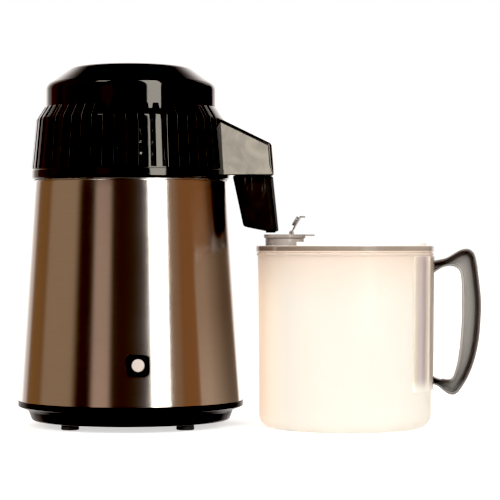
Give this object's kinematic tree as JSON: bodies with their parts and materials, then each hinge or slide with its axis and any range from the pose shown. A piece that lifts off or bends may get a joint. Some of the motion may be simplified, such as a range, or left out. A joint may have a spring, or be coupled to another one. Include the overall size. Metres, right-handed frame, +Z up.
{
  "type": "countertop water distiller",
  "caption": "Countertop water distiller: steel boiler body, lift-off condenser and fan head with spout and filter nozzle, and a collection jug with lid, flap and handle.",
  "frame": {"origin": "on the table, at the centre of the footprint of the distiller and its jug together", "axes": "+Z up, +X from the distiller towards the jug and its handle, -Y towards the side with the reset button"},
  "size_m": [0.4638, 0.2264, 0.361],
  "materials": {
    "black_gloss": "gloss moulded plastic",
    "black_satin": "satin moulded plastic",
    "inner_black": "plain moulded plastic",
    "brushed_steel": "brushed round the body",
    "inner_steel": "drawn, satin",
    "aluminium": "cast or rolled",
    "element_steel": "heat-darkened steel sheath",
    "screw_zinc": "zinc plated",
    "pin_brass": "nickel-flashed brass",
    "rubber": "matt rubber",
    "silicone": "translucent silicone",
    "white_plastic": "moulded plastic",
    "charcoal": "charcoal in a fibre sachet",
    "milky_plastic": "milky translucent polypropylene",
    "lid_plastic": "translucent polypropylene",
    "handle_plastic": "warm grey translucent polypropylene"
  },
  "bodies": {
    "base": {"base_tray": "black_satin", "rubber_feet": "rubber", "foot_screws": "screw_zinc", "tie_posts": "aluminium", "base_screws": "screw_zinc", "outer_casing": "brushed_steel", "boiler_tank": "inner_steel", "heater_plate": "aluminium", "heating_element": "element_steel", "plate_washers": "screw_zinc", "plate_nuts": "screw_zinc", "boil_dry_thermostat": "inner_black", "thermostat_screws": "screw_zinc", "terminal_block": "white_plastic", "reset_bezel": "black_gloss", "reset_switch": "inner_black", "reset_spring": "screw_zinc", "mains_inlet": "black_satin", "inlet_pins": "pin_brass", "inlet_screws": "screw_zinc", "fan_supply_socket": "inner_black"},
    "button": {"reset_button": "white_plastic"},
    "head": {"head_housing": "black_gloss", "top_cover": "black_gloss", "cover_screws": "screw_zinc", "fan_guard": "black_satin", "guard_screws": "screw_zinc", "fan_frame": "inner_black", "fan_motor": "inner_black", "steam_lid": "inner_steel", "head_gasket": "silicone", "lid_screws": "screw_zinc", "fan_supply_plug": "inner_black", "condenser_coil": "inner_steel", "cooling_fins": "aluminium", "coil_brackets": "inner_steel", "spout_housing": "black_gloss", "spout_screws": "screw_zinc", "nozzle_cup": "black_satin", "charcoal_filter": "charcoal"},
    "fan": {"fan_rotor": "inner_black", "fan_shaft": "inner_steel"},
    "jug": {"jug_body": "milky_plastic", "jug_lid": "lid_plastic", "neck_cap": "lid_plastic", "flap_pin": "inner_steel", "handle_saddle": "handle_plastic", "jug_handle": "handle_plastic"},
    "flap": {"cap_flap": "lid_plastic"}
  },
  "joints": [
    {"name": "reset_press", "type": "slide", "parent": "base", "child": "button", "axis": [-0.1173, 0.9909, -0.0659], "range_m": [0, 0.002], "stiffness_N_per_m": 400, "springref_m": -0.002, "deforming": ["reset_spring"]},
    {"name": "head_lift", "type": "slide", "parent": "base", "child": "head", "axis": [0, 0, 1], "range_m": [0, 0.15]},
    {"name": "fan_spin", "type": "hinge", "parent": "head", "child": "fan", "pos_m": [-0.1186, 0, 0.345], "axis": [0, 0, 1], "continuous": true},
    {"name": "jug_slide", "type": "slide", "parent": "base", "child": "jug", "axis": [1, 0, 0], "range_m": [0, 0.25]},
    {"name": "flap_hinge", "type": "hinge", "parent": "jug", "child": "flap", "pos_m": [0.0432, -0.01785, 0.194], "axis": [-0.0872, -0.9962, 0], "range_deg": [-50, 55]}
  ]
}
